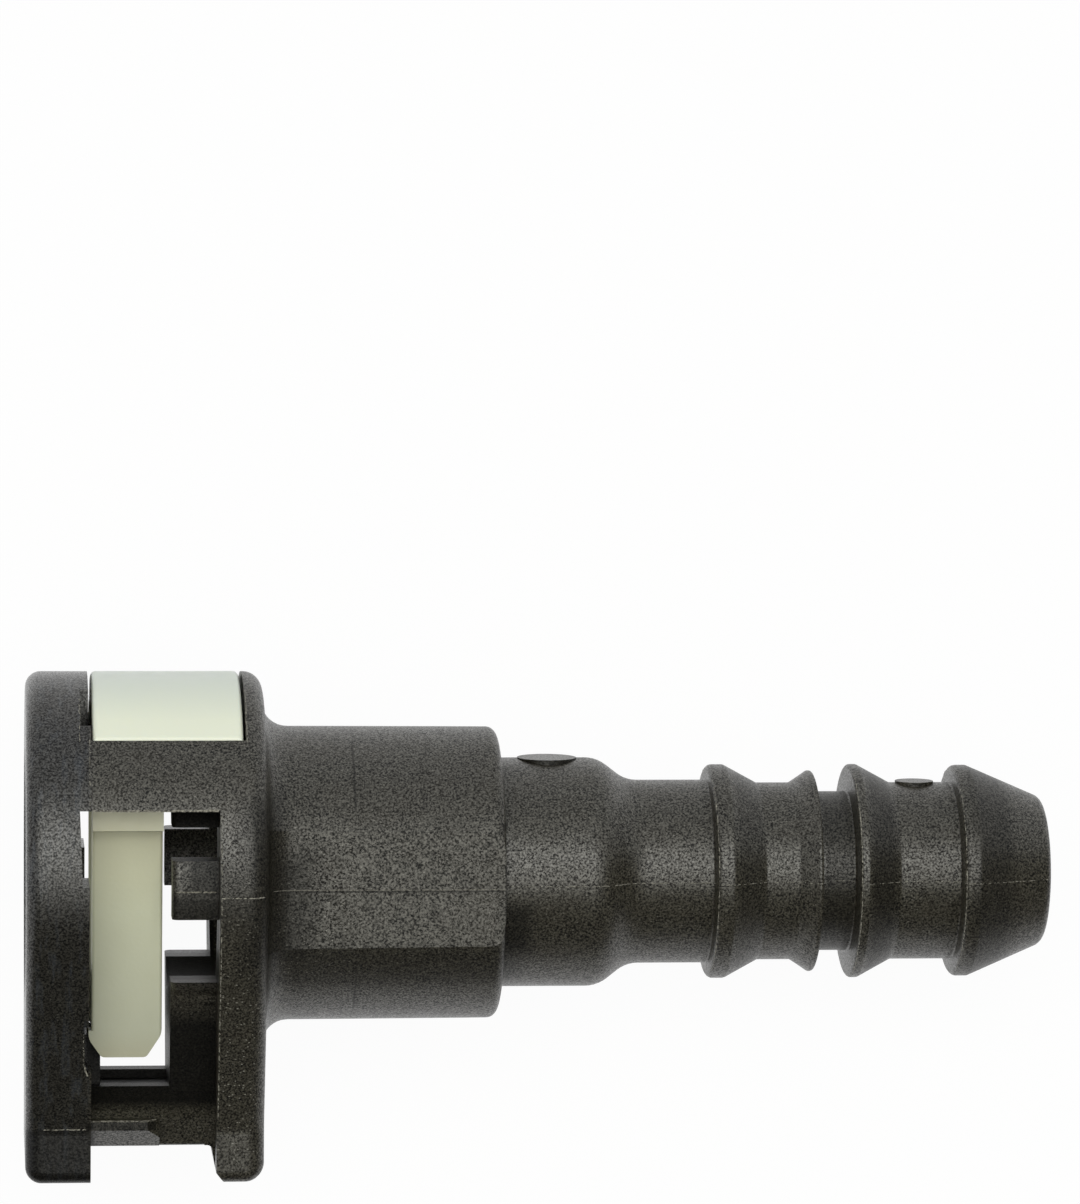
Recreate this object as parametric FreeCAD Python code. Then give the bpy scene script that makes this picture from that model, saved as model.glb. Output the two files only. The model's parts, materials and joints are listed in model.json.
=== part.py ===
import FreeCAD, Part

import math
import os

from FreeCAD import Vector

# Quick connector for a fuel line: a moulded body with a barbed hose stem, and a
# moulded retainer whose button is pressed to let go of the metal tube.
# Sizes are in millimetres. While a piece is made, X runs along the tube axis from
# the mouth to the stem's tip, Y points to the button and Z to one side. At the end
# all pieces are rolled about X, so that the connector lies on one side.

# Metal tube that the connector takes
tube_radius = 4.745
tube_running_clearance = 0.1
bead_radius = 6.0
bead_clearance = 0.67

# Rims of the head
arch_radius = 11.2
arch_rise = 0.5
foot_half_width = 6.65
foot_height = 3.12
foot_corner_radius = 0.7
foot_shoulder_radius = 1.5
rim_depth = 17.05
front_rim_thickness = 3.56
rear_rim_thickness = 2.77
rim_gap = 7.32
front_edge_radius = 0.9
rear_edge_radius = 1.1
rear_foot_chamfer = 0.46
rear_foot_chamfer_height = 0.62
mouth_clearance = 0.85
mouth_chamfer = 0.45

# Recesses and raised parts of the front rim's inner face
guide_recess_depth = 0.55
guide_recess_floor_depth = 0.39
guide_recess_floor = 0.62
latch_recess_depth = 0.24
latch_recess_top = -7.6
latch_recess_height = 2.7
latch_recess_slope = 0.35
arch_notch_depth = 0.49
arch_notch_inner = 3.75
arch_notch_outer = 6.9
arch_notch_floor = 8.3
button_guide_thickness = 0.11
foot_cheek_thickness = 0.16
foot_cheek_top = -10.4
foot_cheek_inner = 5.3

# Struts and the slot for the button
slot_half_width = 7.78
strut_bottom = 4.85
slot_rear_depth = 1.57

# Collar round the tube's bead
collar_length = 2.62
collar_boss_top = 1.75
collar_boss_bottom = -1.6
collar_upper_slot_top = 3.6
collar_lower_slot_bottom = -5.45
boss_corner_radius = 0.4

# Web and bottom member between the rims
web_half_width = 6.0
web_foot_half_width = 4.0
floor_top = -11.88
floor_half_width = 3.6
floor_bottom = -15.1
floor_bottom_half_width = 5.0
floor_edge_radius = 0.3
floor_groove_depth = 0.5
floor_groove_half_width = 2.4
lip_half_width = 6.55
lip_top = -13.4
lip_thickness = 0.55
lip_root_half_width = 5.6
lip_length = 4.1
lip_end_chamfer = 0.7
gusset_length = 0.62
gusset_neck = 0.22
gusset_height = 1.35
gusset_round = 0.3
wedge_half_width = 2.8
wedge_height = 2.9
wedge_thickness = 0.76
wedge_slope = 0.6

# Barrel with the seals
barrel_radius = 8.52
barrel_end_radius = 8.47
barrel_length = 13.65
barrel_fillet = 1.5
barrel_edge_radius = 0.6
flat_distance = 7.82

# Stem lengths, from the barrel to the tip
neck_length = 5.9
neck_taper_length = 1.7
root_length = 4.65
barb_flank_length = 0.12
barb_crest_length = 0.95
barb_slope_length = 1.97
plain_length = 1.96
ring_slope_length = 1.05
ring_crest_length = 0.22
groove_wall_length = 0.06
groove_width = 2.0
narrow_crest_length = 0.51
grip_length = 3.53
last_crest_length = 0.88
nose_length = 4.45

# Stem radii
neck_radius = 6.66
root_radius = 5.34
barb_radius = 6.24
last_barb_radius = 6.18
stem_radius = 5.17
ring_barb_radius = 5.87
groove_radius = 4.65
tip_radius = 4.26
neck_blend_radius = 2.0
barb_round = 0.35
barb_foot_round = 0.25
ring_round = 0.2
groove_round = 0.12
tip_round = 0.7

# Small round ejector marks on the button side of the stem
neck_mark_centre = 2.95
neck_mark_radius = 1.72
neck_mark_height = 0.05
grip_mark_centre = 1.45
grip_mark_radius = 1.12
grip_mark_height = 0.12
mark_depth = 1.2

# Seals, their bush and their spacer
seal_bore_radius = 6.4
bush_front_gap = 0.5
bush_flange_length = 1.0
bush_length = 3.1
bush_clearance = 0.05
bush_lead_in = 1.1
seal_section_radius = 1.0
seal_end_clearance = 0.05
seal_wall_clearance = 0.05
spacer_length = 1.5

# Tube socket and flow bore
socket_end = 30.0
flow_bore_radius = 3.0
socket_cone_length = 1.6
tip_bore_chamfer = 0.3

# Retainer
retainer_front_gap = 0.2
leg_width = 4.03
pad_length = 8.53
pad_thickness = 1.4
pad_side_clearance = 0.13
shoulder_bottom = 3.4
shoulder_slope_height = 0.25
leg_outer_top = 5.95
leg_outer_foot = 4.72
leg_inner_foot = 3.36
leg_inner_clearance = 0.15
leg_foot = -10.02
leg_straight_bottom = -1.0
saddle_centre = 1.9
core_wall = 1.3
core_front_wall = 1.5
core_rib_half_width = 0.7
foot_front_chamfer = 0.6
foot_front_chamfer_height = 1.07
foot_rear_chamfer = 0.88
foot_rear_chamfer_height = 1.35
foot_upper_round = 1.0
foot_lower_round = 0.35
hook_depth = 0.15
hook_top = -8.45
pad_edge_radius = 0.3
leg_edge_radius = 0.2

# Places along X that follow from the sizes above
rear_rim_front = front_rim_thickness + rim_gap
rear_rim_back = rear_rim_front + rear_rim_thickness
collar_front = rear_rim_front - collar_length
barrel_end = rear_rim_back + barrel_length
slot_end = rear_rim_front + slot_rear_depth
bush_front = rear_rim_front + bush_front_gap
bush_seat = bush_front + bush_flange_length
bush_end = bush_front + bush_length
outer_seal_centre = bush_end + seal_end_clearance + seal_section_radius
spacer_front = outer_seal_centre + seal_section_radius + seal_end_clearance
spacer_end = spacer_front + spacer_length
inner_seal_centre = spacer_end + seal_end_clearance + seal_section_radius
seal_bore_end = inner_seal_centre + seal_section_radius + seal_end_clearance
retainer_front = front_rim_thickness + retainer_front_gap

# Radii and widths that follow from the sizes above
collar_bore_radius = bead_radius + bead_clearance
mouth_radius = bead_radius + mouth_clearance
socket_radius = tube_radius + tube_running_clearance
leg_inner_radius = tube_radius + leg_inner_clearance
pad_half_width = slot_half_width - pad_side_clearance
seal_ring_radius = seal_bore_radius - seal_wall_clearance - seal_section_radius
reach = 2 * (arch_radius + rim_depth)
cut_margin = 1.0
full_turn = 360
same_place = 1e-4


def rounded_edges(corners, closed):
    """Lines and tangent arcs through corners, each given as (point, rounding radius)."""
    count = len(corners)
    joints = []
    for index, (corner, radius) in enumerate(corners):
        is_end = not closed and index in (0, count - 1)
        if radius == 0 or is_end:
            joints.append((corner, None, corner))
            continue
        before = (corners[index - 1][0] - corner).normalize()
        after = (corners[(index + 1) % count][0] - corner).normalize()
        half_angle = before.getAngle(after) / 2
        run = radius / math.tan(half_angle)
        bisector = (before + after).normalize()
        middle = corner + bisector * (radius / math.sin(half_angle) - radius)
        joints.append((corner + before * run, middle, corner + after * run))
    edges = []
    for index, (start, middle, end) in enumerate(joints):
        if middle is not None:
            edges.append(Part.Arc(start, middle, end).toShape())
        if index == count - 1 and not closed:
            break
        following = joints[(index + 1) % count][0]
        if (following - end).Length > same_place:
            edges.append(Part.LineSegment(end, following).toShape())
    return edges


def rounded_face(corners):
    return Part.Face(Part.Wire(rounded_edges(corners, True)))


def section_face(x, corners):
    """Face across the tube axis; a corner is (z, y) or (z, y, rounding radius)."""
    placed = []
    for corner in corners:
        radius = corner[2] if len(corner) == 3 else 0
        placed.append((Vector(x, corner[1], corner[0]), radius))
    return rounded_face(placed)


def mirrored(right_side):
    """Adds the left half to a list of corners that runs down the right side."""
    left_side = [(-corner[0],) + tuple(corner[1:]) for corner in reversed(right_side)]
    return right_side + left_side


def turned(corners):
    """Solid turned about the tube axis from (x, radius) or (x, radius, rounding) corners."""
    placed = []
    for corner in corners:
        radius = corner[2] if len(corner) == 3 else 0
        placed.append((Vector(corner[0], corner[1], 0), radius))
    return rounded_face(placed).revolve(Vector(0, 0, 0), Vector(1, 0, 0), full_turn)


def cylinder(x_start, x_end, radius):
    return Part.makeCylinder(radius, x_end - x_start, Vector(x_start, 0, 0), Vector(1, 0, 0))


def block(x_start, x_end, y_start, y_end, z_start, z_end):
    size = Vector(x_end - x_start, y_end - y_start, z_end - z_start)
    return Part.makeBox(size.x, size.y, size.z, Vector(x_start, y_start, z_start))


def both_sides(shape):
    """A shape together with its mirror image on the other side of the tube axis."""
    return shape.fuse(shape.mirror(Vector(0, 0, 0), Vector(0, 0, 1)))


def edges_at(shape, x):
    """Edges that lie wholly in the plane across the axis at x."""
    found = []
    for edge in shape.Edges:
        box = edge.BoundBox
        if abs(box.XMin - x) < same_place and abs(box.XMax - x) < same_place:
            found.append(edge)
    return found


def arch_height(half_width, radius):
    """Height of the arch over the tube axis at a distance from the middle."""
    return arch_rise + math.sqrt(radius ** 2 - half_width ** 2)


def side_lean(across, down, radius):
    """Angle in radians of a straight side from a point below the arch's centre to an arch."""
    return math.asin(radius / math.hypot(across, down)) - math.atan2(across, down)


def rim_outline(x):
    """Rim's face at x: an arch over the button, tapered sides and a straight foot."""
    shoulder_y = foot_height - rim_depth
    taper = side_lean(foot_half_width, arch_rise - shoulder_y, arch_radius)
    side_z = arch_radius * math.cos(taper)
    side_y = arch_rise - arch_radius * math.sin(taper)
    right_start = Vector(x, side_y, side_z)
    left_start = Vector(x, side_y, -side_z)
    lower_side = [
        (right_start, 0),
        (Vector(x, shoulder_y, foot_half_width), foot_shoulder_radius),
        (Vector(x, -rim_depth, foot_half_width), foot_corner_radius),
        (Vector(x, -rim_depth, -foot_half_width), foot_corner_radius),
        (Vector(x, shoulder_y, -foot_half_width), foot_shoulder_radius),
        (left_start, 0),
    ]
    top = Vector(x, arch_rise + arch_radius, 0)
    arch = Part.Arc(left_start, top, right_start).toShape()
    return Part.Face(Part.Wire(rounded_edges(lower_side, False) + [arch]))


def front_rim():
    rim = rim_outline(0).extrude(Vector(front_rim_thickness, 0, 0))
    rim = rim.makeFillet(front_edge_radius, edges_at(rim, 0))
    mouth = turned([
        (-cut_margin, 0),
        (-cut_margin, mouth_radius + mouth_chamfer + cut_margin),
        (mouth_chamfer, mouth_radius),
        (front_rim_thickness + cut_margin, mouth_radius),
        (front_rim_thickness + cut_margin, 0),
    ])
    rim = rim.cut(mouth)
    for recess in (guide_recess(), latch_recess(), arch_notches()):
        rim = rim.cut(recess)
    return rim.fuse([foot_wedge(), foot_cheeks(), button_guides()])


def guide_recess():
    """Shallow recess beside the mouth, under the struts, with a slanted wall."""
    end = front_rim_thickness + cut_margin
    outline = [
        (Vector(front_rim_thickness - guide_recess_depth, strut_bottom, -reach), 0),
        (Vector(end, strut_bottom, -reach), 0),
        (Vector(end, guide_recess_floor, -reach), 0),
        (Vector(front_rim_thickness - guide_recess_floor_depth, guide_recess_floor, -reach), 0),
    ]
    return rounded_face(outline).extrude(Vector(0, 0, 2 * reach))


def latch_recess():
    """Groove for the hooks on the legs' feet, with a sloped lower wall."""
    start = front_rim_thickness - latch_recess_depth
    end = front_rim_thickness + cut_margin
    bottom = latch_recess_top - latch_recess_height
    outline = [
        (Vector(start, latch_recess_top, -reach), 0),
        (Vector(end, latch_recess_top, -reach), 0),
        (Vector(end, bottom - latch_recess_slope, -reach), 0),
        (Vector(front_rim_thickness, bottom - latch_recess_slope, -reach), 0),
        (Vector(start, bottom, -reach), 0),
    ]
    return rounded_face(outline).extrude(Vector(0, 0, 2 * reach))


def arch_notches():
    """Two short notches in the arch beside the button."""
    start = front_rim_thickness - arch_notch_depth
    end = front_rim_thickness + cut_margin
    right = block(start, end, arch_notch_floor, reach, arch_notch_inner, arch_notch_outer)
    return both_sides(right)


def foot_cheeks():
    """Raised outer parts of the foot, beside the legs."""
    layer = rim_outline(front_rim_thickness).extrude(Vector(foot_cheek_thickness, 0, 0))
    side = block(0, rear_rim_front, -reach, foot_cheek_top, foot_cheek_inner, reach)
    return layer.common(both_sides(side))


def button_guides():
    """Low ribs in the slot's front corners, close to the button."""
    layer = rim_outline(front_rim_thickness).extrude(Vector(button_guide_thickness, 0, 0))
    side = block(0, rear_rim_front, strut_bottom, reach, arch_notch_outer, reach)
    return layer.common(both_sides(side))


def foot_wedge():
    """Pad between the legs' feet, on the front rim's inner face."""
    front = front_rim_thickness - latch_recess_depth
    back = front_rim_thickness + wedge_thickness
    top = floor_top + wedge_height
    root = floor_top - floor_groove_depth
    outline = [
        (Vector(front, root, -wedge_half_width), 0),
        (Vector(front, top, -wedge_half_width), 0),
        (Vector(front_rim_thickness, top, -wedge_half_width), 0),
        (Vector(back, top - wedge_slope, -wedge_half_width), 0),
        (Vector(back, root, -wedge_half_width), 0),
    ]
    return rounded_face(outline).extrude(Vector(0, 0, 2 * wedge_half_width))


def rear_rim():
    rim = rim_outline(rear_rim_front).extrude(Vector(rear_rim_thickness, 0, 0))
    rim = rim.makeFillet(rear_edge_radius, edges_at(rim, rear_rim_back))
    chamfer = [
        (Vector(rear_rim_front, -rim_depth, -reach), 0),
        (Vector(rear_rim_front + rear_foot_chamfer, -rim_depth, -reach), 0),
        (Vector(rear_rim_front, -rim_depth + rear_foot_chamfer_height, -reach), 0),
    ]
    return rim.cut(rounded_face(chamfer).extrude(Vector(0, 0, 2 * reach)))


def struts():
    """Two bars that join the rims beside the button, flush with the arch."""
    bars = rim_outline(front_rim_thickness).extrude(Vector(rim_gap, 0, 0))
    side = block(0, rear_rim_back, strut_bottom, reach, slot_half_width, reach)
    return bars.common(both_sides(side))


def button_slot():
    """Pocket in the rear rim that the back of the button slides in."""
    pocket = block(rear_rim_front, slot_end, strut_bottom, reach, -slot_half_width, slot_half_width)
    return pocket.cut(cylinder(0, barrel_end, barrel_radius))


def collar():
    """Barrel's ring in front of the rear rim, slotted through at the sides."""
    ring = cylinder(collar_front, rear_rim_front, barrel_radius)
    ring = ring.makeFillet(boss_corner_radius, edges_at(ring, collar_front))
    front = collar_front - cut_margin
    upper = block(front, rear_rim_front, collar_boss_top, collar_upper_slot_top, -reach, reach)
    lower = block(front, rear_rim_front, collar_lower_slot_bottom, collar_boss_bottom, -reach, reach)
    return ring.cut(upper).cut(lower)


def web():
    """Wall under the collar that carries it on the bottom member's sloped sides."""
    slope = (floor_top - lip_top) / (lip_root_half_width - floor_half_width)
    foot_y = floor_top - slope * (web_foot_half_width - floor_half_width)
    outline = mirrored([
        (web_half_width, collar_lower_slot_bottom),
        (web_foot_half_width, foot_y),
        (web_foot_half_width, lip_top),
    ])
    return section_face(collar_front, outline).extrude(Vector(collar_length, 0, 0))


def bottom_member():
    """Floor between the rims, grooved on top, with a lip along the front part of each side."""
    floor_outline = mirrored([
        (floor_half_width, floor_top),
        (lip_root_half_width, lip_top),
        (floor_bottom_half_width, floor_bottom, floor_edge_radius),
    ])
    floor = section_face(front_rim_thickness, floor_outline).extrude(Vector(rim_gap, 0, 0))
    groove_bottom = floor_top - floor_groove_depth
    half_width = floor_groove_half_width
    floor = floor.cut(block(front_rim_thickness, rear_rim_front, groove_bottom, 0, -half_width, half_width))
    lip_outline = mirrored([
        (lip_root_half_width, lip_top),
        (lip_half_width, lip_top),
        (lip_half_width, lip_top - lip_thickness),
        (floor_bottom_half_width, floor_bottom),
    ])
    lip = section_face(front_rim_thickness, lip_outline).extrude(Vector(lip_length, 0, 0))
    lip_end = front_rim_thickness + lip_length
    corner = [
        (Vector(lip_end, -reach, lip_half_width), 0),
        (Vector(lip_end, -reach, lip_half_width - lip_end_chamfer), 0),
        (Vector(lip_end - lip_end_chamfer, -reach, lip_half_width), 0),
    ]
    ends = both_sides(rounded_face(corner).extrude(Vector(0, 2 * reach, 0)))
    return floor.fuse(lip.cut(ends))


def gusset():
    """Small rib from the bottom member down the rear rim, with a concave corner."""
    start = rear_rim_front - gusset_length
    foot_y = floor_bottom - gusset_height
    outline = [
        (Vector(start, lip_top, -reach), 0),
        (Vector(start, floor_bottom, -reach), 0),
        (Vector(rear_rim_front - gusset_neck, floor_bottom, -reach), gusset_round),
        (Vector(rear_rim_front, foot_y, -reach), 0),
        (Vector(rear_rim_front, lip_top, -reach), 0),
    ]
    rib = rounded_face(outline).extrude(Vector(0, 0, 2 * reach))
    lean = (lip_root_half_width - floor_bottom_half_width) / (lip_top - floor_bottom)
    foot_half_width = floor_bottom_half_width - lean * gusset_height
    sides = mirrored([(lip_root_half_width, lip_top), (foot_half_width, foot_y)])
    return rib.common(section_face(start, sides).extrude(Vector(gusset_length, 0, 0)))


def stem_corners():
    """Outline of the barrel and the barbed stem, as (x, radius, rounding) corners."""
    steps = [
        (neck_length, neck_radius, neck_blend_radius),
        (neck_taper_length, root_radius, neck_blend_radius),
        (root_length, root_radius, groove_round),
        (barb_flank_length, barb_radius, barb_round),
        (barb_crest_length, barb_radius, barb_round),
        (barb_slope_length, stem_radius, barb_foot_round),
        (plain_length, stem_radius, barb_foot_round),
        (ring_slope_length, ring_barb_radius, groove_round),
        (ring_crest_length, ring_barb_radius, groove_round),
        (groove_wall_length, groove_radius, groove_round),
        (groove_width, groove_radius, groove_round),
        (groove_wall_length, barb_radius, ring_round),
        (narrow_crest_length, barb_radius, ring_round),
        (barb_slope_length, stem_radius, barb_foot_round),
        (grip_length, stem_radius, groove_round),
        (barb_flank_length, last_barb_radius, barb_round),
        (last_crest_length, last_barb_radius, barb_round),
        (nose_length, tip_radius, tip_round),
    ]
    x = barrel_end
    corners = [(x, neck_radius)]
    for length, radius, rounding in steps:
        x += length
        corners.append((x, radius, rounding))
    return corners


def barrel_and_stem():
    corners = [
        (rear_rim_back - cut_margin, 0),
        (rear_rim_back - cut_margin, barrel_radius),
        (rear_rim_back, barrel_radius),
        (barrel_end, barrel_end_radius, barrel_edge_radius),
    ]
    corners += stem_corners()
    corners.append((tip_x(), 0))
    return turned(corners)


def barrel_flats():
    """Cutter for the barrel's two flat sides, which curve up to the rear rim."""
    outline = [
        (Vector(rear_rim_back, -reach, reach), 0),
        (Vector(rear_rim_back, -reach, flat_distance), barrel_fillet),
        (Vector(barrel_end, -reach, flat_distance), 0),
        (Vector(barrel_end, -reach, reach), 0),
    ]
    return both_sides(rounded_face(outline).extrude(Vector(0, 2 * reach, 0)))


def rear_fillet():
    """Concave fillet from the rear rim's back to the barrel."""
    top = Vector(rear_rim_back, barrel_radius + barrel_fillet, 0)
    corner = Vector(rear_rim_back, barrel_radius, 0)
    end = Vector(rear_rim_back + barrel_fillet, barrel_radius, 0)
    inner_start = Vector(rear_rim_back, seal_bore_radius, 0)
    inner_end = Vector(rear_rim_back + barrel_fillet, seal_bore_radius, 0)
    arc_edges = rounded_edges([(top, 0), (corner, barrel_fillet), (end, 0)], False)
    closing = [
        Part.LineSegment(end, inner_end).toShape(),
        Part.LineSegment(inner_end, inner_start).toShape(),
        Part.LineSegment(inner_start, top).toShape(),
    ]
    face = Part.Face(Part.Wire(arc_edges + closing))
    return face.revolve(Vector(0, 0, 0), Vector(1, 0, 0), full_turn)


def tip_x():
    return stem_corners()[-1][0]


def grip_x():
    """Start of the plain length between the last two barbs."""
    tail = nose_length + last_crest_length + barb_flank_length + grip_length
    return tip_x() - tail


def ejector_marks():
    """Two low round marks on the button side, on the neck and between the last barbs."""
    neck_place = Vector(barrel_end + neck_mark_centre, neck_radius - mark_depth, 0)
    grip_place = Vector(grip_x() + grip_mark_centre, stem_radius - mark_depth, 0)
    up = Vector(0, 1, 0)
    neck_mark = Part.makeCylinder(neck_mark_radius, mark_depth + neck_mark_height, neck_place, up)
    grip_mark = Part.makeCylinder(grip_mark_radius, mark_depth + grip_mark_height, grip_place, up)
    return neck_mark.fuse(grip_mark)


def inner_bores():
    """Bead bore, seal bore, tube socket and flow bore, as one turned cutter."""
    tip = tip_x()
    return turned([
        (collar_front - cut_margin, 0),
        (collar_front - cut_margin, collar_bore_radius),
        (bush_seat, collar_bore_radius),
        (bush_seat, seal_bore_radius),
        (seal_bore_end, seal_bore_radius),
        (seal_bore_end, socket_radius),
        (socket_end, socket_radius),
        (socket_end + socket_cone_length, flow_bore_radius),
        (tip - tip_bore_chamfer, flow_bore_radius),
        (tip + cut_margin, flow_bore_radius + tip_bore_chamfer + cut_margin),
        (tip + cut_margin, 0),
    ])


def body():
    """One moulding: rims, struts, collar, floor, barrel and barbed stem."""
    head = front_rim().fuse(rear_rim())
    pieces = [struts(), collar(), web(), bottom_member(), gusset()]
    pieces += [barrel_and_stem(), rear_fillet(), ejector_marks()]
    whole = head.fuse(pieces)
    for cutter in (barrel_flats(), button_slot(), inner_bores()):
        whole = whole.cut(cutter)
    return whole.removeSplitter()


def retainer_outline():
    """Retainer seen along the tube: button arch, shoulders and two converging legs."""
    shoulder_end = shoulder_bottom - shoulder_slope_height
    pad_corner_y = arch_height(pad_half_width, arch_radius)
    outer_right = [
        (pad_half_width, shoulder_bottom),
        (leg_outer_top, shoulder_end),
        (leg_outer_foot, leg_foot),
        (leg_inner_foot, leg_foot),
        (leg_inner_radius, leg_straight_bottom),
        (leg_inner_radius, saddle_centre),
    ]
    right = [Vector(retainer_front, y, z) for z, y in outer_right]
    left = [Vector(retainer_front, y, -z) for z, y in reversed(outer_right)]
    right_corner = Vector(retainer_front, pad_corner_y, pad_half_width)
    left_corner = Vector(retainer_front, pad_corner_y, -pad_half_width)
    top = Vector(retainer_front, arch_rise + arch_radius, 0)
    saddle_top = Vector(retainer_front, saddle_centre + leg_inner_radius, 0)
    edges = [Part.Arc(left_corner, top, right_corner).toShape()]
    points = [right_corner] + right
    edges += [Part.LineSegment(a, b).toShape() for a, b in zip(points, points[1:])]
    edges.append(Part.Arc(right[-1], saddle_top, left[0]).toShape())
    points = left + [left_corner]
    edges += [Part.LineSegment(a, b).toShape() for a, b in zip(points, points[1:])]
    return Part.Face(Part.Wire(edges))


def button_pad():
    """Curved top of the retainer, which runs back over the collar."""
    end = retainer_front + pad_length
    centre = Vector(retainer_front, arch_rise, 0)
    outer = Part.makeCylinder(arch_radius, pad_length, centre, Vector(1, 0, 0))
    inner = Part.makeCylinder(arch_radius - pad_thickness, pad_length, centre, Vector(1, 0, 0))
    window = block(retainer_front, end, arch_rise, reach, -pad_half_width, pad_half_width)
    return outer.cut(inner).common(window)


def retainer_core():
    """Hollows behind the button's front wall, either side of a middle rib."""
    front = retainer_front + core_front_wall
    end = retainer_front + leg_width + cut_margin
    centre = Vector(front, arch_rise, 0)
    under_pad = Part.makeCylinder(arch_radius - pad_thickness, end - front, centre, Vector(1, 0, 0))
    saddle_place = Vector(front, saddle_centre, 0)
    band = Part.makeCylinder(leg_inner_radius + core_wall, end - front, saddle_place, Vector(1, 0, 0))
    side = block(front, end, saddle_centre, reach, core_rib_half_width, pad_half_width - core_wall)
    return both_sides(side).common(under_pad).cut(band)


def foot_envelope():
    """Space for the legs and hooks, with sloped, rounded corners at the feet."""
    front = retainer_front - hook_depth
    back = retainer_front + leg_width
    outline = [
        (Vector(front, reach, -reach), 0),
        (Vector(front, leg_foot + foot_front_chamfer_height, -reach), foot_upper_round),
        (Vector(retainer_front + foot_front_chamfer, leg_foot, -reach), foot_lower_round),
        (Vector(back - foot_rear_chamfer, leg_foot, -reach), foot_lower_round),
        (Vector(back, leg_foot + foot_rear_chamfer_height, -reach), foot_upper_round),
        (Vector(back, reach, -reach), 0),
    ]
    return rounded_face(outline).extrude(Vector(0, 0, 2 * reach))


def is_button_edge(edge):
    """True for an edge of the button's curved top."""
    for vertex in edge.Vertexes:
        from_centre = math.hypot(vertex.Point.y - arch_rise, vertex.Point.z)
        if abs(from_centre - arch_radius) > same_place:
            return False
    return True


def is_leg_edge(edge):
    """True for the long outer edges of the two legs."""
    ends = [vertex.Point for vertex in edge.Vertexes]
    if len(ends) != 2 or abs(ends[0].x - ends[1].x) > same_place:
        return False
    lean = (leg_outer_top - leg_outer_foot) / (shoulder_bottom - shoulder_slope_height - leg_foot)
    for end in ends:
        if abs(abs(end.z) - leg_outer_foot - lean * (end.y - leg_foot)) > same_place:
            return False
    return abs(ends[0].y - ends[1].y) > leg_width


def retainer():
    """One moulding: button, shoulders and two legs that hold the tube's bead."""
    frame = retainer_outline().extrude(Vector(leg_width, 0, 0))
    hook_face = retainer_outline().translated(Vector(-hook_depth, 0, 0))
    hooks = hook_face.extrude(Vector(leg_width, 0, 0))
    hooks = hooks.common(block(0, rear_rim_front, -reach, hook_top, -reach, reach))
    legs = frame.cut(retainer_core()).fuse(hooks).removeSplitter()
    legs = legs.makeFillet(leg_edge_radius, [edge for edge in legs.Edges if is_leg_edge(edge)])
    whole = legs.common(foot_envelope()).fuse(button_pad()).removeSplitter()
    return whole.makeFillet(pad_edge_radius, [edge for edge in whole.Edges if is_button_edge(edge)])


def seal_bush():
    """Flanged bush that closes the seal bore and guides the tube."""
    flange_radius = collar_bore_radius - bush_clearance
    outer_radius = seal_bore_radius - bush_clearance
    return turned([
        (bush_front, socket_radius + bush_lead_in),
        (bush_front, flange_radius),
        (bush_seat, flange_radius),
        (bush_seat, outer_radius),
        (bush_end, outer_radius),
        (bush_end, socket_radius),
        (bush_front + bush_lead_in, socket_radius),
    ])


def seal_ring(centre):
    place = Vector(centre, 0, 0)
    return Part.makeTorus(seal_ring_radius, seal_section_radius, place, Vector(1, 0, 0))


def spacer_ring():
    outer_radius = seal_bore_radius - bush_clearance
    return cylinder(spacer_front, spacer_end, outer_radius).cut(cylinder(spacer_front, spacer_end, socket_radius))


def lying_roll():
    """Roll in degrees at which the arch and the foot's corner touch one flat surface."""
    across = foot_half_width - foot_corner_radius
    down = rim_depth - foot_corner_radius + arch_rise
    return math.degrees(side_lean(across, down, arch_radius - foot_corner_radius))


def export(name, shape):
    """Rolls a piece on to the connector's side and writes it."""
    laid = shape.copy()
    laid.rotate(Vector(0, 0, 0), Vector(1, 0, 0), lying_roll())
    laid.exportStep("parts/" + name + ".step")
    print(name, len(laid.Solids), laid.isValid(), round(laid.Volume, 2))


os.makedirs("parts", exist_ok=True)
export("body", body())
export("retainer", retainer())
export("seal_bush", seal_bush())
export("o_ring_outer", seal_ring(outer_seal_centre))
export("spacer_ring", spacer_ring())
export("o_ring_inner", seal_ring(inner_seal_centre))
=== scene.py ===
import json
import math
import random

import bpy
import bmesh
from mathutils import Matrix, Vector
from mathutils.bvhtree import BVHTree


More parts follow.
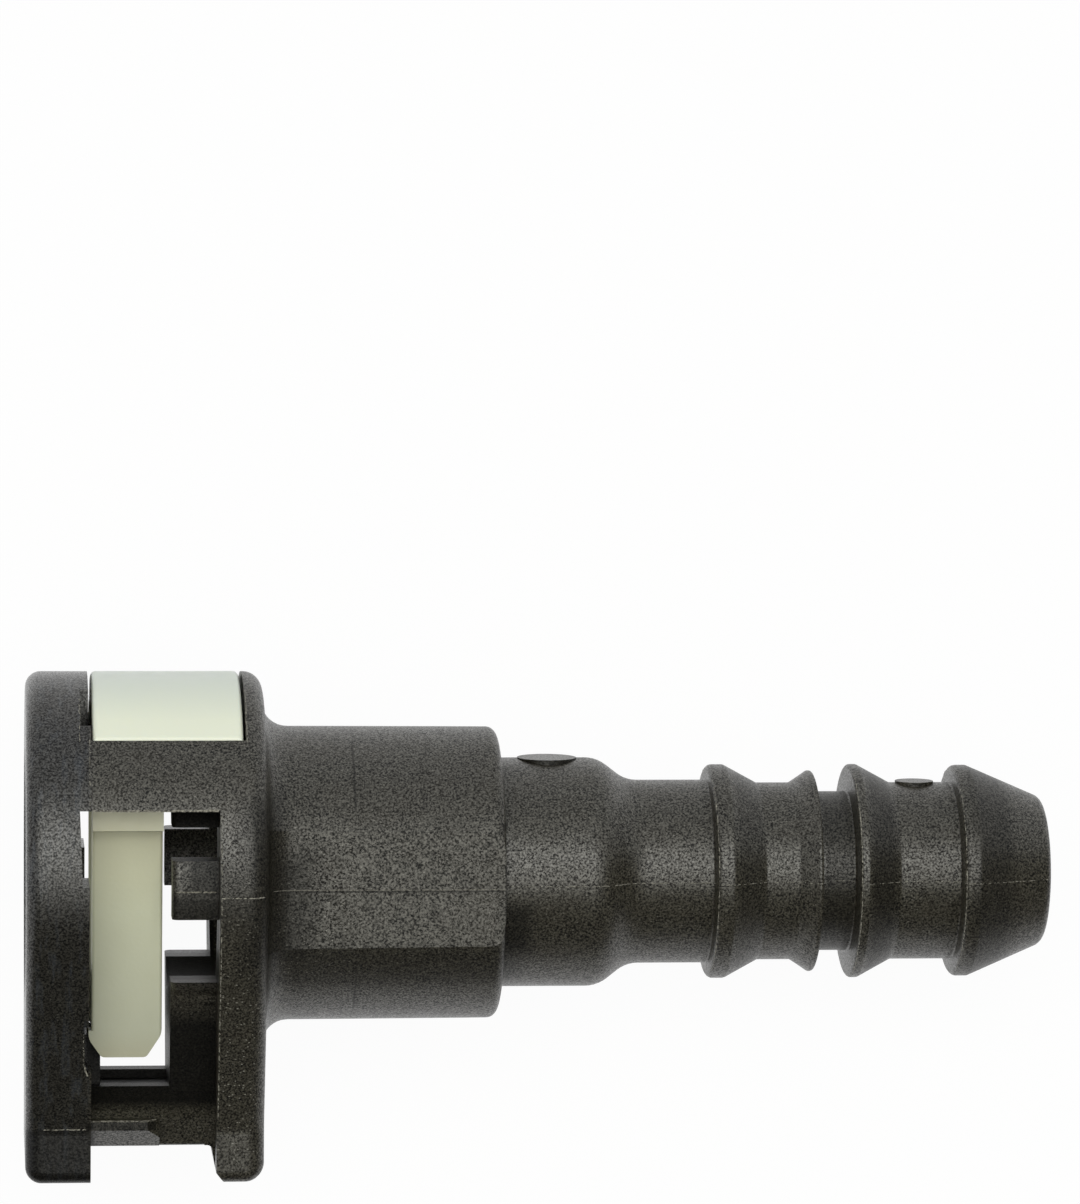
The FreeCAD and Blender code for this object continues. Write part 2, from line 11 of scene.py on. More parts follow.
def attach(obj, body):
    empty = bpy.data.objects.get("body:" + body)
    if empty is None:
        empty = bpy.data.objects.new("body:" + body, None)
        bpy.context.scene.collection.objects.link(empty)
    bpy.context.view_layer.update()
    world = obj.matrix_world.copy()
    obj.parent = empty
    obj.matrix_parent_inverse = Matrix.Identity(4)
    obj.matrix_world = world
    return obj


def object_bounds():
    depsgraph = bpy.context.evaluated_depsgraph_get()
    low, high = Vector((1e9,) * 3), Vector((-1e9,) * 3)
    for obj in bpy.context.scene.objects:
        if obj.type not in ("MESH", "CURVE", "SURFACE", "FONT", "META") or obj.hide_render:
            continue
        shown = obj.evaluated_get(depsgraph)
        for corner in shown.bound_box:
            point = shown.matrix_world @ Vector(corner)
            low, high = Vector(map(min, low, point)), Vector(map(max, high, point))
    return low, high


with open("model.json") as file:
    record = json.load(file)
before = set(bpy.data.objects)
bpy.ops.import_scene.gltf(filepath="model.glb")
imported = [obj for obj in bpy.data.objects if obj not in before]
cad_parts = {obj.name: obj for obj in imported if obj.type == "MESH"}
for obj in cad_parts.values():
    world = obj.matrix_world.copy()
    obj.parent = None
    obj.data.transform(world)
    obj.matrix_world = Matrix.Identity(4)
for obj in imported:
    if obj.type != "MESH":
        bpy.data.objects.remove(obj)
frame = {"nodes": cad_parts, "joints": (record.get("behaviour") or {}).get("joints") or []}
cad_low, cad_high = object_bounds()

# Camera
# The connector lies on its side on a white ground. The camera looks down on it from 35 cm, a
# little from the foot's side and from the mouth's end.
picture_height = 1204
focal_pixels = 6000
sensor_width = 36
nearest_seen = 0.01
furthest_seen = 100
camera_lean = math.radians(11.58)
camera_yaw = math.radians(5.304)
camera_spin = math.radians(-1.045)
camera_distance = 0.353057
looked_at = Vector((0.030216, 0.0160394, 0))

back = Vector((
    -math.sin(camera_yaw),
    -math.sin(camera_lean) * math.cos(camera_yaw),
    math.cos(camera_lean) * math.cos(camera_yaw),
))
level_right = Vector((0, 1, 0)).cross(back).normalized()
level_up = back.cross(level_right)
right = level_right * math.cos(camera_spin) + level_up * math.sin(camera_spin)
up = level_up * math.cos(camera_spin) - level_right * math.sin(camera_spin)
camera_turn = Matrix((right, up, back)).transposed().to_4x4()
lens = bpy.data.cameras.new("camera")
lens.sensor_width = sensor_width
lens.lens = focal_pixels * sensor_width / picture_height
lens.clip_start = nearest_seen
lens.clip_end = furthest_seen
camera = bpy.data.objects.new("camera", lens)
camera.matrix_world = Matrix.Translation(looked_at + back * camera_distance) @ camera_turn
bpy.context.scene.collection.objects.link(camera)
bpy.context.scene.camera = camera


# Body
# One black moulding of glass-filled nylon: rims, struts, collar, barrel and barbed stem. Short
# glass fibres show as light specks, the mould left a fine grain, and the front rim is smoother.
press_axis = Vector(frame["joints"][0]["axis"])
lying_roll = math.atan2(-press_axis.z, -press_axis.y)
upright_to_lying = Matrix.Rotation(lying_roll, 3, "X")
mm_per_metre = 1000


def lying(x, y, z):
    """Scene point of a place given in millimetres along the tube, to the button and to the side."""
    return upright_to_lying @ Vector((x, y, z)) / mm_per_metre


def add(tree, kind, settings=None, inputs=None):
    """Adds a shader node; an input takes a value or another node's output."""
    made = tree.nodes.new(kind)
    for name, value in (settings or {}).items():
        setattr(made, name, value)
    for name, value in (inputs or {}).items():
        if isinstance(value, bpy.types.NodeSocket):
            tree.links.new(value, made.inputs[name])
        else:
            made.inputs[name].default_value = value
    return made


def math_node(tree, operation, first, second=0.0, clamp=False):
    settings = {"operation": operation, "use_clamp": clamp}
    return add(tree, "ShaderNodeMath", settings, {0: first, 1: second}).outputs[0]


def times(tree, first, second):
    return math_node(tree, "MULTIPLY", first, second)


def minus(tree, first, second, clamp=False):
    return math_node(tree, "SUBTRACT", first, second, clamp)


def larger(tree, first, second):
    return math_node(tree, "MAXIMUM", first, second)


def vector_node(tree, operation, first, second=None):
    inputs = {0: first} if second is None else {0: first, 1: second}
    return add(tree, "ShaderNodeVectorMath", {"operation": operation}, inputs).outputs[0]


def ramp(tree, value, low, high, to_low=0.0, to_high=1.0):
    """Carries a value from one range to another and holds it there."""
    ranges = {"From Min": low, "From Max": high, "To Min": to_low, "To Max": to_high}
    return add(tree, "ShaderNodeMapRange", {}, {"Value": value, **ranges}).outputs[0]


def noise(tree, place, scale, detail, roughness=0.5):
    look = {"Scale": scale, "Detail": detail, "Roughness": roughness}
    return add(tree, "ShaderNodeTexNoise", {}, {"Vector": place, **look}).outputs[0]


def mixed(tree, mask, first, second):
    """Colour between two, by a mask."""
    colours = {0: mask, 6: first, 7: second}
    return add(tree, "ShaderNodeMix", {"data_type": "RGBA"}, colours).outputs[2]


def new_group(name, inputs, outputs):
    """Empty shader group: inputs as (name, type, default), outputs as (name, type)."""
    group = bpy.data.node_groups.new(name, "ShaderNodeTree")
    for socket_name, kind, default in inputs:
        socket = group.interface.new_socket(socket_name, in_out="INPUT", socket_type=kind)
        if default is not None:
            socket.default_value = default
    for socket_name, kind in outputs:
        group.interface.new_socket(socket_name, in_out="OUTPUT", socket_type=kind)
    return group, group.nodes.new("NodeGroupInput"), group.nodes.new("NodeGroupOutput")


def moulded_grain():
    """Fine pebbling that a spark-eroded mould leaves: a height and a shade."""
    group, given, result = new_group(
        "Moulded grain",
        [("Place", "NodeSocketVector", None), ("Grain per mm", "NodeSocketFloat", 4.0)],
        [("Height", "NodeSocketFloat"), ("Shade", "NodeSocketFloat")],
    )
    place, per_mm = given.outputs["Place"], given.outputs["Grain per mm"]
    coarse = noise(group, place, per_mm, 4.0, 0.65)
    pebbles = {"Vector": place, "Scale": times(group, per_mm, 2.3), "Smoothness": 0.6}
    cells = add(group, "ShaderNodeTexVoronoi", {"feature": "SMOOTH_F1"}, pebbles)
    hollows = times(group, cells.outputs["Distance"], 0.5)
    group.links.new(minus(group, coarse, hollows), result.inputs["Height"])
    group.links.new(ramp(group, coarse, 0.40, 0.62), result.inputs["Shade"])
    return group


def glass_fibres():
    """Light specks and short strokes where fibres lie at the skin."""
    group, given, result = new_group(
        "Glass fibres",
        [
            ("Place", "NodeSocketVector", None),
            ("Fibres per mm", "NodeSocketFloat", 5.0),
            ("Cover", "NodeSocketFloat", 0.3),
        ],
        [("Mask", "NodeSocketFloat")],
    )
    total = None
    for turn, stretch in ((0.35, 0.55), (-0.8, 0.7)):
        turned = {"Rotation": (turn, turn, turn * 2), "Scale": (stretch, 1.0, 1.0)}
        turned["Vector"] = given.outputs["Place"]
        drawn = add(group, "ShaderNodeMapping", {}, turned).outputs[0]
        spots = {"Vector": drawn, "Scale": given.outputs["Fibres per mm"]}
        flecks = add(group, "ShaderNodeTexVoronoi", {"feature": "F1"}, spots)
        near = ramp(group, flecks.outputs["Distance"], 0.32, 0.1)
        chosen = math_node(group, "LESS_THAN", flecks.outputs["Color"], given.outputs["Cover"])
        fleck = times(group, near, chosen)
        total = fleck if total is None else larger(group, total, fleck)
    group.links.new(total, result.inputs["Mask"])
    return group


def soft_box():
    """Mask that is 1 inside a box and fades out round it."""
    group, given, result = new_group(
        "Soft box",
        [
            ("Place", "NodeSocketVector", None),
            ("Centre", "NodeSocketVector", (0, 0, 0)),
            ("Half size", "NodeSocketVector", (1, 1, 1)),
            ("Fade", "NodeSocketFloat", 0.3),
        ],
        [("Mask", "NodeSocketFloat")],
    )
    away = vector_node(group, "SUBTRACT", given.outputs["Place"], given.outputs["Centre"])
    distance = vector_node(group, "ABSOLUTE", away)
    outside = vector_node(group, "SUBTRACT", distance, given.outputs["Half size"])
    parts = add(group, "ShaderNodeSeparateXYZ", {}, {0: outside}).outputs
    furthest = larger(group, larger(group, parts[0], parts[1]), parts[2])
    fade = math_node(group, "DIVIDE", furthest, given.outputs["Fade"])
    group.links.new(minus(group, 1.0, fade, clamp=True), result.inputs["Mask"])
    return group


def round_mark():
    """Mask of a thin ring, on the button's side, about a line that runs to the button."""
    lowest_height = 3.5
    group, given, result = new_group(
        "Round mark",
        [
            ("Place", "NodeSocketVector", None),
            ("Along", "NodeSocketFloat", 0.0),
            ("Radius", "NodeSocketFloat", 1.0),
            ("Width", "NodeSocketFloat", 0.08),
        ],
        [("Mask", "NodeSocketFloat")],
    )
    parts = add(group, "ShaderNodeSeparateXYZ", {}, {0: given.outputs["Place"]}).outputs
    along = minus(group, parts[0], given.outputs["Along"])
    squares = math_node(group, "ADD", times(group, along, along), times(group, parts[2], parts[2]))
    from_centre = math_node(group, "SQRT", squares)
    off = math_node(group, "ABSOLUTE", minus(group, from_centre, given.outputs["Radius"]))
    faded = math_node(group, "DIVIDE", off, given.outputs["Width"])
    above = math_node(group, "GREATER_THAN", parts[1], lowest_height)
    ring = times(group, minus(group, 1.0, faded, clamp=True), above)
    group.links.new(ring, result.inputs["Mask"])
    return group


grain_group = moulded_grain()
ring_group = round_mark()
fibre_group = glass_fibres()
box_group = soft_box()


def upright_place(tree):
    """Millimetres along the tube, to the button and to the side, for textures."""
    coordinates = tree.nodes.new("ShaderNodeTexCoord")
    turned = {"Rotation": (-lying_roll, 0, 0), "Scale": (mm_per_metre,) * 3}
    turned["Vector"] = coordinates.outputs["Object"]
    return add(tree, "ShaderNodeMapping", {}, turned).outputs[0]


def use_group(tree, group, **inputs):
    """Adds a group; a socket's name is given with underscores for its spaces."""
    named = {name.replace("_", " "): value for name, value in inputs.items()}
    return add(tree, "ShaderNodeGroup", {"node_tree": group}, named)


def new_material(name):
    """Material with an empty Principled surface, and its tree, shader and texture place."""
    material = bpy.data.materials.new(name)
    material.use_nodes = True
    tree = material.node_tree
    return material, tree, tree.nodes["Principled BSDF"], upright_place(tree)


def lay_skin(tree, surface, colour, roughness, height, strength, depth):
    """Gives a shader its colour, its roughness and a bump as deep as depth, in metres."""
    tree.links.new(colour, surface.inputs["Base Color"])
    tree.links.new(roughness, surface.inputs["Roughness"])
    relief = {"Height": height, "Strength": strength, "Distance": depth}
    bump = add(tree, "ShaderNodeBump", {}, relief)
    tree.links.new(bump.outputs[0], surface.inputs["Normal"])


def dress(node_name, material):
    """Gives a CAD node its material."""
    slots = frame["nodes"][node_name].data.materials
    slots.clear()
    slots.append(material)


# Places on the upright body, in millimetres: centre, half size and width of the fading edge.
smooth_rim_box = ((1.0, 0, 0), (2.4, 30, 30), 0.4)
head_box = ((6.0, 0, 0), (7.2, 30, 30), 0.8)
rear_rim_box = ((12.0, -7.0, 0), (0.9, 8.6, 30), 0.6)
rough_patch_box = ((16.0, -1.6, 8), (1.4, 3.0, 2), 1.6)
# Painted shade on inner walls and in recesses, dark bands and witness lines: the same, with how
# dark each is at the end.
shade_and_mark_boxes = (
    ((7.3, -1.5, 0), (3.7, 11.1, 5.2), 0.5, 1.0),
    ((9.4, 3.4, 0), (1.7, 1.45, 9.5), 0.2, 1.0),
    ((9.4, -3.6, 0), (1.7, 1.75, 9.5), 0.25, 1.0),
    ((9.3, -1.1, 8), (1.7, 0.6, 1), 0.5, 0.75),
    ((10.2, 0.9, 8), (0.7, 1.0, 1), 0.9, 0.75),
    ((5.6, -13.72, 6.6), (2.1, 0.2, 0.5), 0.08, 0.75),
    ((1.5, -15.6, 6), (2.3, 1.6, 3), 0.2, 0.75),
    ((13.3, 0.5, 6), (0.5, 4.2, 5), 1.3, 0.6),
    ((14.8, -1.2, 6), (0.7, 2.6, 5), 1.5, 0.6),
    ((27.32, -3.2, 6), (0.05, 4.6, 3), 0.09, 0.75),
    ((28.1, -2.6, 6), (0.3, 1.0, 3), 1.0, 0.7),
    ((18.7, 6.2, 6), (0.0, 1.7, 4), 0.12, 0.75),
    ((18.8, -5.6, 6), (0.0, 1.4, 4), 0.12, 0.75),
    ((27.27, 3.5, 6), (0.12, 0.12, 3), 0.15, 0.75),
    ((20.6, -0.1, 6), (6.5, 0.02, 4), 0.06, 0.75),
    ((46.9, 0.1, 6), (0.9, 0.02, 4), 0.06, 0.75),
    ((46.95, 0, 0), (0.7, 8, 8), 0.25, 0.5),
    ((41.7, 0, 0), (0.5, 8, 8), 0.5, 0.3),
    ((49.4, 0, 0), (0.5, 8, 8), 0.5, 0.55),
    ((55.8, 0, 0), (0.7, 8, 8), 1.0, 0.5),
    ((12.0, 0.2, 6), (1.2, 1.2, 9), 1.5, 0.4),
    ((20.5, -4.5, 6), (7.5, 0.8, 5), 0.9, 0.35),
)
# Dark rings round the two pads that face the button's side: place along the tube and radius.
ejector_rings = ((30.25, 1.72), (51.97, 1.12))
ring_width = 0.09
ring_darkness = 0.75


def black_nylon():
    material, tree, surface, place = new_material("black_nylon")
    grain = use_group(tree, grain_group, Place=place, Grain_per_mm=8.5).outputs
    fibres = use_group(tree, fibre_group, Place=place, Fibres_per_mm=7.5, Cover=0.22)
    white_specks = use_group(tree, fibre_group, Place=place, Fibres_per_mm=3.2, Cover=0.01)
    blotches = noise(tree, place, 0.45, 4.0, 0.6)
    drawn_out = {"Vector": place, "Scale": (2.2, 0.22, 1.0)}
    streaks = noise(tree, add(tree, "ShaderNodeMapping", {}, drawn_out).outputs[0], 1.0, 5.0, 0.7)

    def in_box(centre, half_size, fade):
        limits = {"Centre": centre, "Half_size": half_size, "Fade": fade}
        return use_group(tree, box_group, Place=place, **limits).outputs[0]

    smooth_rim = in_box(*smooth_rim_box)
    head = in_box(*head_box)
    rear_rim = in_box(*rear_rim_box)
    rough_patch = in_box(*rough_patch_box)
    # Painted shade and the dark bands and lines, each mask scaled by how dark it is.
    shade_and_mark_masks = [times(tree, in_box(*box), darkness) for *box, darkness in shade_and_mark_boxes]
    for along, radius in ejector_rings:
        ring = {"Along": along, "Radius": radius, "Width": ring_width}
        mask = use_group(tree, ring_group, Place=place, **ring).outputs[0]
        shade_and_mark_masks.append(times(tree, mask, ring_darkness))
    shade_and_marks = shade_and_mark_masks[0]
    for mask in shade_and_mark_masks[1:]:
        shade_and_marks = larger(tree, shade_and_marks, mask)

    warm = ramp(tree, blotches, 0.42, 0.92)
    # Bluish streaks on the smooth front rim are painted highlights.
    highlight_streaks = ramp(tree, streaks, 0.52, 0.77)
    usual_share, highest_share = 0.45, 0.95
    rougher = larger(tree, rough_patch, rear_rim)
    fleck_share = ramp(tree, rougher, 0.0, 1.0, usual_share, highest_share)
    flecks = times(tree, fibres.outputs[0], fleck_share)
    skin = mixed(tree, grain["Shade"], (0.001, 0.001, 0.0008, 1), (0.062, 0.056, 0.038, 1))
    for mask, share, colour in (
        (warm, 0.6, (0.034, 0.029, 0.019, 1)),
        (head, 0.05, (0.006, 0.0055, 0.0045, 1)),
        (flecks, 1.0, (0.26, 0.25, 0.21, 1)),
        (smooth_rim, 0.6, (0.005, 0.005, 0.005, 1)),
        # Painted bluish highlight streaks on the front rim.
        (times(tree, highlight_streaks, smooth_rim), 0.6, (0.055, 0.062, 0.072, 1)),
        # Painted shade in the recesses, with the dark bands and witness lines.
        (shade_and_marks, 0.85, (0.002, 0.002, 0.002, 1)),
        (white_specks.outputs[0], 1.0, (0.5, 0.5, 0.46, 1)),
    ):
        skin = mixed(tree, times(tree, mask, share), skin, colour)

    roughness = ramp(tree, grain["Shade"], 0.0, 1.0, 0.35, 0.43)
    roughness = minus(tree, roughness, times(tree, smooth_rim, 0.12))
    depth = math_node(tree, "ADD", 1.0, times(tree, rough_patch, 0.8))
    depth = minus(tree, depth, times(tree, smooth_rim, 0.5))
    height = times(tree, grain["Height"], depth)
    lay_skin(tree, surface, skin, roughness, height, strength=0.8, depth=0.00004)

    shiny = times(tree, grain["Shade"], minus(tree, 1.0, times(tree, shade_and_marks, 0.9)))
    tree.links.new(shiny, surface.inputs["Coat Weight"])
    surface.inputs["Coat IOR"].default_value = 1.65
    surface.inputs["Coat Roughness"].default_value = 0.36
    surface.inputs["Specular IOR Level"].default_value = 0.14
    return material


dress("body", black_nylon())


# Flash
# Where the mould's halves and slides meet, thin ragged flash stands up, paler than the skin: down
# both sides of the boss, barrel and stem, and along the edges of the windows, rims and lips.
flash_step = 0.09
flash_root = 0.05
flash_wander = 0.015
least_share_of_height = 0.25
highest_step_in_skin = 1.2
beside_body = 30
body_mesh = frame["nodes"]["body"].data
body_points = [vertex.co for vertex in body_mesh.vertices]
body_surface = BVHTree.FromPolygons(body_points, [face.vertices for face in body_mesh.polygons])


def grained(name, grain_per_mm, low_colour, high_colour, roughness, strength, depth):
    """Material whose colour and roughness follow a moulded grain."""
    material, tree, surface, place = new_material(name)
    grain = use_group(tree, grain_group, Place=place, Grain_per_mm=grain_per_mm).outputs
    colour = mixed(tree, grain["Shade"], low_colour, high_colour)
    rough = ramp(tree, grain["Shade"], 0.0, 1.0, *roughness)
    lay_skin(tree, surface, colour, rough, grain["Height"], strength, depth)
    return material


pale_nylon = grained(
    "pale_nylon",
    grain_per_mm=6.0,
    low_colour=(0.10, 0.092, 0.074, 1),
    high_colour=(0.42, 0.40, 0.33, 1),
    roughness=(0.5, 0.65),
    strength=0.6,
    depth=0.00003,
)


def skin_at(x, y, side):
    """Upright place and outward normal where a line across at x, y first meets the body."""
    inward = lying(0, 0, -side * mm_per_metre).normalized()
    hit, normal, _, _ = body_surface.ray_cast(lying(x, y, side * beside_body), inward)
    if hit is None:
        return None
    lying_to_upright = upright_to_lying.transposed()
    return lying_to_upright @ hit * mm_per_metre, lying_to_upright @ normal


def inside_box(point):
    return Vector(min(max(value, low), high) for value, low, high in zip(point, cad_low, cad_high))


def ridge(name, stations, half_width):
    """Thin ridge along (place, outward, across, height) stations given upright in millimetres."""
    shape = bmesh.new()
    rings = []
    for place, outward, across, height in stations:
        aside, sunk = across * half_width, outward * flash_root
        points = (place + aside - sunk, place + outward * height, place - aside - sunk)
        rings.append([shape.verts.new(inside_box(lying(*point))) for point in points])
    for before, after in zip(rings, rings[1:]):
        for i in range(3):
            j = (i + 1) % 3
            shape.faces.new((before[i], before[j], after[j], after[i]))
    shape.faces.new(rings[0])
    shape.faces.new(reversed(rings[-1]))
    bmesh.ops.recalc_face_normals(shape, faces=shape.faces)
    mesh = bpy.data.meshes.new(name)
    shape.to_mesh(mesh)
    shape.free()
    made = bpy.data.objects.new(name, mesh)
    bpy.context.scene.collection.objects.link(made)
    mesh.materials.append(pale_nylon)
    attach(made, "connector")


def flash_line(name, side, path, half_width, height, gaps, seed):
    """Ragged flash over the skin along a path of (x, y) corners; gaps is the share left bare."""
    chance = random.Random(seed + side)
    stations = []
    for (x0, y0), (x1, y1) in zip(path, path[1:]):
        count = max(1, int(math.hypot(x1 - x0, y1 - y0) / flash_step))
        along = Vector((x1 - x0, y1 - y0, 0)).normalized()
        at_end = 1 if (x1, y1) == path[-1] else 0
        for i in range(count + at_end):
            share = i / count
            found = skin_at(x0 + (x1 - x0) * share, y0 + (y1 - y0) * share, side)
            if found is None:
                continue
            place, outward = found
            if stations and abs(place.z - stations[-1][0].z) > highest_step_in_skin:
                continue
            across = along.cross(outward).normalized()
            bare = chance.random() < gaps
            stands = -flash_root if bare else height * chance.uniform(least_share_of_height, 1.0)
            place += across * chance.uniform(-flash_wander, flash_wander)
            stations.append((place, outward, across, stands))
    ridge(name + ("_upper" if side > 0 else "_lower"), stations, half_width)


front_edge = 3.58
rear_edge = 10.96
# Each line's name, path of (x, y) corners, half width, height, share of gaps and seed.
flash_lines = [
    ("boss_line", [(8.5, 0.0), (10.8, 0.0)], 0.08, 0.09, 0.05, 3),
    ("rim_line", [(10.95, 0.0), (13.4, 0.0)], 0.07, 0.08, 0.1, 11),
    ("barrel_line", [(14.0, 0.0), (27.2, 0.0)], 0.05, 0.05, 0.08, 12),
    ("neck_line", [(27.4, 0.0), (45.8, 0.0)], 0.05, 0.05, 0.3, 13),
    ("groove_line", [(46.0, 0.0), (47.8, 0.0)], 0.04, 0.03, 0.3, 14),
    ("tail_line", [(48.0, 0.0), (59.2, 0.0)], 0.05, 0.05, 0.35, 15),
    ("first_barb_line", [(39.72, -5.7), (39.72, 5.7)], 0.05, 0.04, 0.25, 101),
    ("third_barb_line", [(48.02, -5.7), (48.02, 5.7)], 0.05, 0.05, 0.15, 111),
    ("last_barb_line", [(54.12, -5.6), (54.12, 5.6)], 0.05, 0.04, 0.2, 121),
    ("rear_rim_edge", [(rear_edge, 4.6), (rear_edge, -13.2)], 0.06, 0.06, 0.3, 21),
    ("strut_seam", [(front_edge, 5.0), (front_edge, 8.6)], 0.06, 0.06, 0.35, 31),
    ("window_lip", [(3.7, 4.89), (10.8, 4.89)], 0.08, 0.08, 0.2, 41),
    ("front_foot_line", [(1.0, -13.86), (3.45, -13.86)], 0.07, 0.07, 0.1, 51),
    ("latch_edge", [(3.26, -8.05), (3.27, -9.95), (3.5, -10.6)], 0.06, 0.06, 0.35, 61),
    ("lip_edge", [(3.75, -13.43), (7.5, -13.43)], 0.05, 0.04, 0.2, 71),
    ("slot_rear_edge", [(12.5, 8.4), (12.5, 11.2)], 0.06, 0.05, 0.3, 81),
    ("notch_edge", [(3.02, 8.5), (3.02, 10.6)], 0.06, 0.05, 0.3, 91),
]
for side in (1, -1):
    for name, path, half_width, height, gaps, seed in flash_lines:
        flash_line(name, side, path, half_width, height, gaps, seed)


# Retainer
# One off-white acetal moulding with the button and two legs. It is a little translucent. Painted
# shade makes it tan by the shoulders and at the feet and greyer down the legs, painted light makes
# the button paler, and a painted reflection makes the button's crown bluish.
def white_acetal():
    material, tree, surface, place = new_material("white_acetal")
    grain = use_group(tree, grain_group, Place=place, Grain_per_mm=1.6).outputs
    clouds = noise(tree, place, 0.30, 2.0)
    height = add(tree, "ShaderNodeSeparateXYZ", {}, {0: place}).outputs[1]
    near_shoulder = ramp(tree, height, -1.5, 4.5)
    near_foot = ramp(tree, height, -8.6, -10.4)
    lit_button = ramp(tree, height, 5.5, 6.5)
    leg_shade = ramp(tree, height, 0.5, -9.5)
    crown_reflection = ramp(tree, height, 9.6, 11.8)
    # Painted shade: tan by the shoulders and at the feet, greyer down the legs.
    shoulder_and_foot_shade = times(tree, larger(tree, near_shoulder, near_foot), minus(tree, 1.0, lit_button))
    pale = mixed(tree, clouds, (0.62, 0.63, 0.45, 1), (0.68, 0.70, 0.52, 1))
    for mask, share, colour in (
        (leg_shade, 0.8, (0.43, 0.44, 0.34, 1)),
        (shoulder_and_foot_shade, 0.6, (0.46, 0.43, 0.29, 1)),
        # Painted light on the button, and a painted bluish reflection on its crown.
        (lit_button, 0.9, (0.92, 0.96, 0.80, 1)),
        (crown_reflection, 0.6, (0.66, 0.74, 0.72, 1)),
    ):
        pale = mixed(tree, times(tree, mask, share), pale, colour)
    roughness = ramp(tree, grain["Shade"], 0.0, 1.0, 0.30, 0.40)
    lay_skin(tree, surface, pale, roughness, grain["Height"], strength=0.25, depth=0.00003)
    surface.inputs["Subsurface Weight"].default_value = 0.12
    surface.inputs["Subsurface Radius"].default_value = (1.0, 0.9, 0.6)
    surface.inputs["Subsurface Scale"].default_value = 0.0006
    return material


dress("retainer", white_acetal())


# Seal bush
# A flanged bush of natural nylon, pressed into the seal bore's mouth. It guides the tube and
# keeps the O-rings in.
natural_nylon = grained(
    "natural_nylon",
    grain_per_mm=2.4,
    low_colour=(0.52, 0.50, 0.41, 1),
    high_colour=(0.60, 0.58, 0.48, 1),
    roughness=(0.38, 0.48),
    strength=0.3,
    depth=0.00002,
)
dress("seal_bush", natural_nylon)


# O-rings
# Two fluoroelastomer rings moulded in a split mould and wiped with a film of oil. They close on
# the tube behind the bush.
def oiled_rubber():
    material, tree, surface, place = new_material("oiled_rubber")
    grain = use_group(tree, grain_group, Place=place, Grain_per_mm=6.0).outputs
    black = mixed(tree, grain["Shade"], (0.012, 0.012, 0.012, 1), (0.022, 0.021, 0.020, 1))
    roughness = ramp(tree, noise(tree, place, 0.9, 2.0), 0.0, 1.0, 0.22, 0.48)
    lay_skin(tree, surface, black, roughness, grain["Height"], strength=0.2, depth=0.00001)
    return material


oiled_rubber_material = oiled_rubber()
dress("o_ring_outer", oiled_rubber_material)
dress("o_ring_inner", oiled_rubber_material)


# Spacer ring
# A plain dark nylon ring that keeps the two O-rings apart.
dark_nylon = grained(
    "dark_nylon",
    grain_per_mm=3.0,
    low_colour=(0.020, 0.020, 0.020, 1),
    high_colour=(0.036, 0.036, 0.035, 1),
    roughness=(0.42, 0.55),
    strength=0.3,
    depth=0.00002,
)
dress("spacer_ring", dark_nylon)


# Floor
# A white ground under the lying connector. It looks white to the camera and in reflections, and
# keeps a faint shadow.
floor_half = 1.5
floor_gap = 0.00002
floor_height = cad_low.z - floor_gap
glow_share = 0.955


def surroundings(name, points, faces, material):
    """Object of plain faces that isn't part of the connector."""
    mesh = bpy.data.meshes.new(name)
    mesh.from_pydata(points, [], faces)
    mesh.materials.append(material)
    made = bpy.data.objects.new(name, mesh)
    bpy.context.scene.collection.objects.link(made)
    return made


def seen_directly(tree):
    """1 for camera, glossy and transmission rays."""
    rays = tree.nodes.new("ShaderNodeLightPath").outputs
    seen = math_node(tree, "ADD", rays["Is Camera Ray"], rays["Is Glossy Ray"], clamp=True)
    return math_node(tree, "ADD", seen, rays["Is Transmission Ray"], clamp=True)


def white_ground():
    material = bpy.data.materials.new("white_ground")
    material.use_nodes = True
    tree = material.node_tree
    surface = tree.nodes["Principled BSDF"]
    surface.inputs["Base Color"].default_value = (0.93, 0.93, 0.93, 1)
    surface.inputs["Roughness"].default_value = 0.9
    surface.inputs["Specular IOR Level"].default_value = 0.0
    glow = add(tree, "ShaderNodeEmission", {}, {"Color": (1, 1, 1, 1), "Strength": 1.0})
    shaders = {1: surface.outputs[0], 2: glow.outputs[0]}
    share = times(tree, seen_directly(tree), glow_share)
    blend = add(tree, "ShaderNodeMixShader", {}, {0: share, **shaders})
    tree.links.new(blend.outputs[0], tree.nodes["Material Output"].inputs["Surface"])
    return material


corners = ((-1, -1), (1, -1), (1, 1), (-1, 1))
floor_points = [(x * floor_half, y * floor_half, floor_height) for x, y in corners]
floor = surroundings("floor", floor_points, [(0, 1, 2, 3)], white_ground())


# Light
# A wide warm soft box nearly overhead, a small lamp inside it for the highlights, and a white
# room. A dark wall round the foot and the tip is seen only in reflections.
lit_place = Vector((0.03, 0, 0))
lamp_distance = 0.6


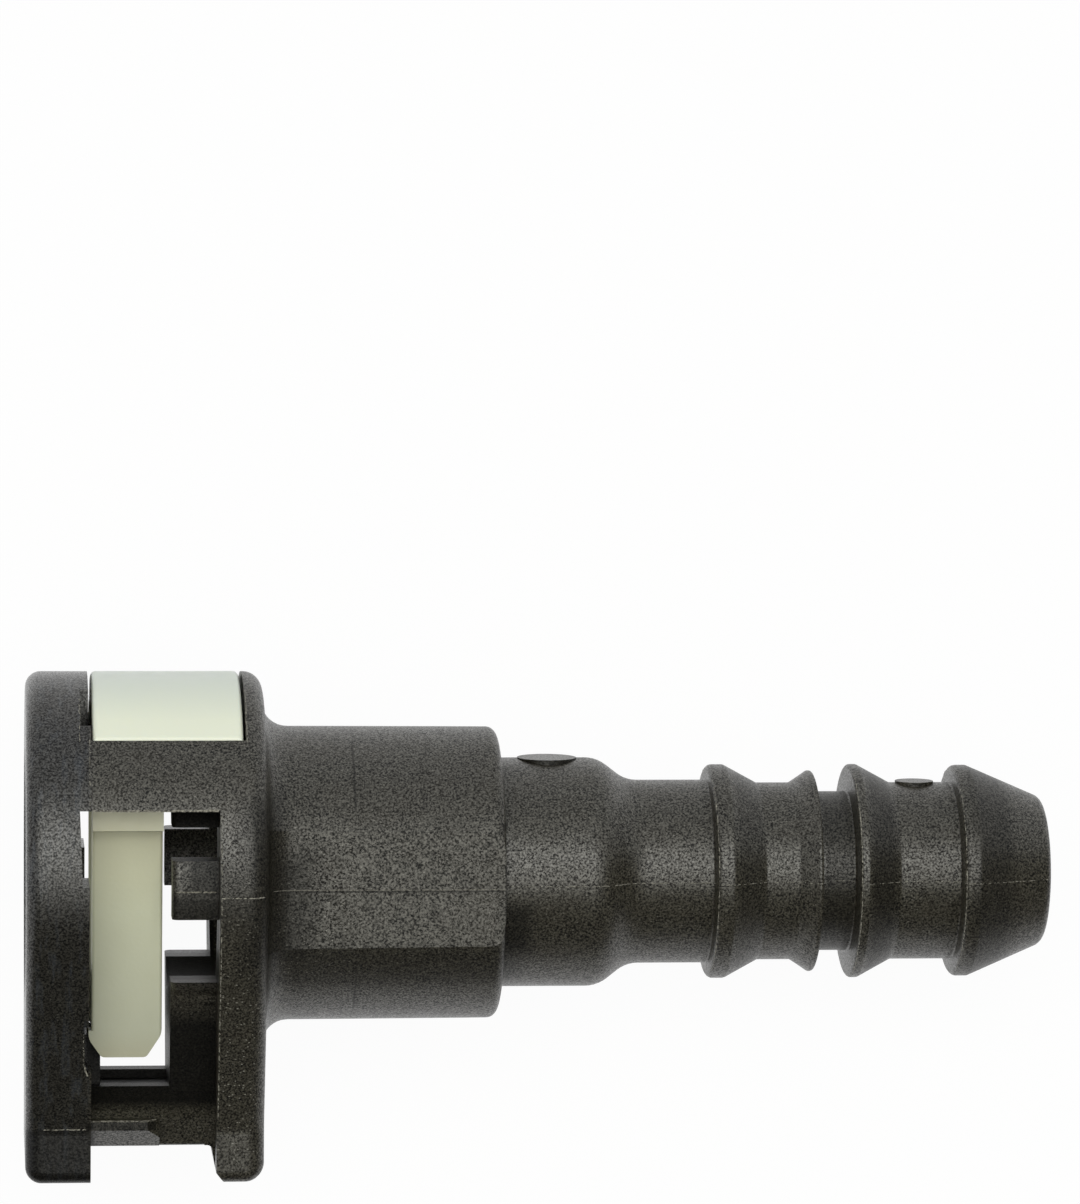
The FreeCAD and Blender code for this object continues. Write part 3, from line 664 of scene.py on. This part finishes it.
def overhead_lamp(name, size, energy, colour, to_button, to_tip):
    """Round lamp, leaned from overhead toward the button and the tip by angles in degrees."""
    lamp = bpy.data.lights.new(name, "AREA")
    lamp.shape = "DISK"
    lamp.size = size
    lamp.energy = energy
    lamp.color = colour
    made = bpy.data.objects.new(name, lamp)
    turn_to_tip = Matrix.Rotation(math.radians(to_tip), 4, "Y")
    turn_to_button = Matrix.Rotation(math.radians(-to_button), 4, "X")
    raised = Matrix.Translation((0, 0, lamp_distance))
    made.matrix_world = Matrix.Translation(lit_place) @ turn_to_tip @ turn_to_button @ raised
    bpy.context.scene.collection.objects.link(made)


overhead_lamp("soft_box", 0.62, 2.3, (1.0, 0.985, 0.89), to_button=-2, to_tip=-4)
overhead_lamp("highlight_lamp", 0.24, 0.22, (0.96, 1.0, 1.04), to_button=4, to_tip=-1)

world = bpy.data.worlds.new("white_room")
world.use_nodes = True
bpy.context.scene.world = world
room = world.node_tree
room_inputs = room.nodes["Background"].inputs
room_inputs["Color"].default_value = (0.92, 0.95, 1.0, 1)
room_light = 0.36
room_seen = 1.0
room_strength = ramp(room, seen_directly(room), 0.0, 1.0, room_light, room_seen)
room.links.new(room_strength, room_inputs["Strength"])

wall_half_length = 0.085
wall_half_width = 0.055
wall_top = 0.10
wall_start = 215
wall_step = 5
wall_panels = 32
wall_points = []
for panel in range(wall_panels + 1):
    angle = math.radians(wall_start + panel * wall_step)
    for height in (floor_height, wall_top):
        x = lit_place.x + wall_half_length * math.cos(angle)
        wall_points.append((x, wall_half_width * math.sin(angle), height))
wall_faces = [(2 * i, 2 * i + 2, 2 * i + 3, 2 * i + 1) for i in range(wall_panels)]
dark_wall_material = bpy.data.materials.new("dark_wall")
dark_wall_material.use_nodes = True
wall_tree = dark_wall_material.node_tree
wall_glow = add(wall_tree, "ShaderNodeEmission", {}, {"Color": (1, 1, 1, 1), "Strength": 0.07})
wall_tree.links.new(wall_glow.outputs[0], wall_tree.nodes["Material Output"].inputs["Surface"])
wall = surroundings("dark_wall", wall_points, wall_faces, dark_wall_material)
wall.visible_camera = False
wall.visible_diffuse = False
wall.visible_shadow = False
wall.visible_transmission = False

bpy.context.scene.view_settings.view_transform = "Standard"
